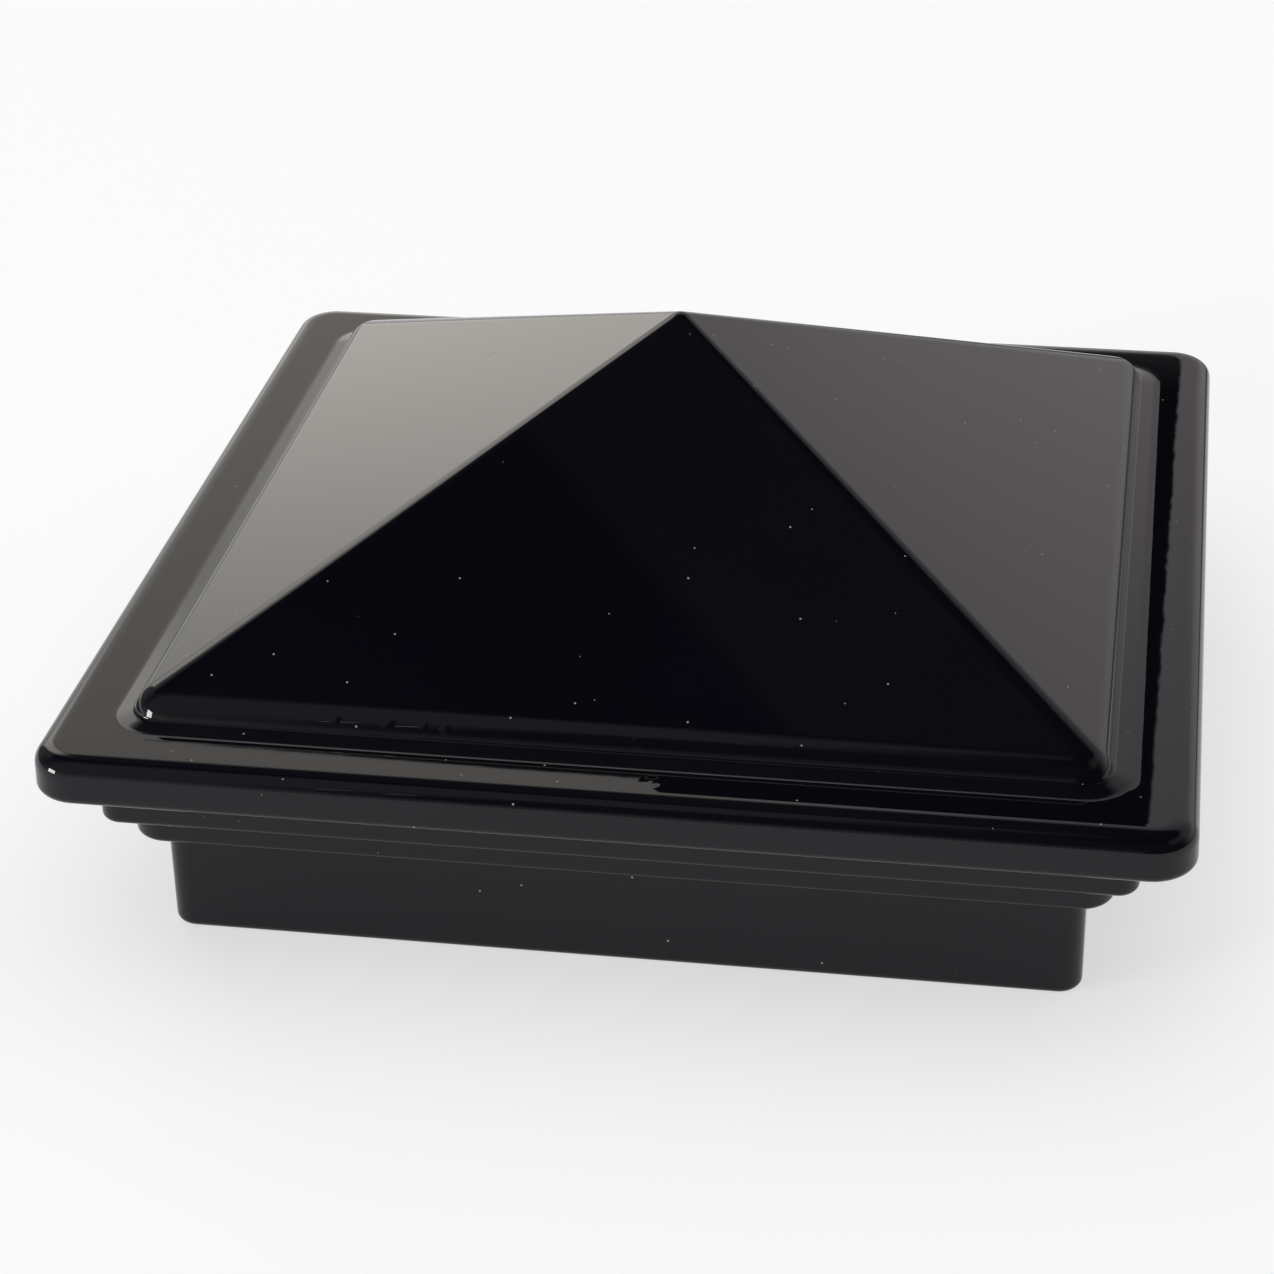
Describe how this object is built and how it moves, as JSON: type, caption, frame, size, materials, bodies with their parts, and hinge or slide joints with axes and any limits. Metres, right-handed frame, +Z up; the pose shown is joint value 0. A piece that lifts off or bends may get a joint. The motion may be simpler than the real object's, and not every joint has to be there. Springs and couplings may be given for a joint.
{
  "type": "fence post cap",
  "caption": "Square pyramid cap for a timber fence post: a stepped, flanged hollow casting held by a screw and sealing washer through each side of its skirt.",
  "frame": {"origin": "middle of the skirt's rim, on the plane that the cap stands on", "axes": "+Z up towards the pyramid's tip, -Y the front, +X the right, square to the skirt's walls"},
  "size_m": [0.119, 0.119, 0.0536],
  "materials": {
    "gloss_black_coat": "gloss black powder coat over cast aluminium, slight orange peel",
    "black_screw_coat": "satin black coat over steel",
    "washer_rubber": "matt black moulded rubber"
  },
  "bodies": {
    "cap": {"cap_casting": "gloss_black_coat"},
    "left_washer": {"left_washer": "washer_rubber"},
    "left_screw": {"left_screw": "black_screw_coat"},
    "right_washer": {"right_washer": "washer_rubber"},
    "right_screw": {"right_screw": "black_screw_coat"}
  },
  "joints": [
    {"name": "left_washer_slide", "type": "slide", "parent": "cap", "child": "left_washer", "axis": [-1, 0, 0], "range_m": [0, 0.01439]},
    {"name": "left_screw_turn", "type": "hinge", "parent": "left_washer", "child": "left_screw", "pos_m": [-0.0508, 0, 0.0062], "axis": [-1, 0, 0], "range_deg": [0, 3060]},
    {"name": "right_washer_slide", "type": "slide", "parent": "cap", "child": "right_washer", "axis": [1, 0, 0], "range_m": [0, 0.01439]},
    {"name": "right_screw_turn", "type": "hinge", "parent": "right_washer", "child": "right_screw", "pos_m": [0.0508, 0, 0.0062], "axis": [1, 0, 0], "range_deg": [0, 3060]}
  ],
  "couplings": [
    {"joint": "left_screw_turn", "follows": "left_washer_slide", "rad_per_m": 3710.5},
    {"joint": "right_screw_turn", "follows": "right_washer_slide", "rad_per_m": 3710.5}
  ]
}
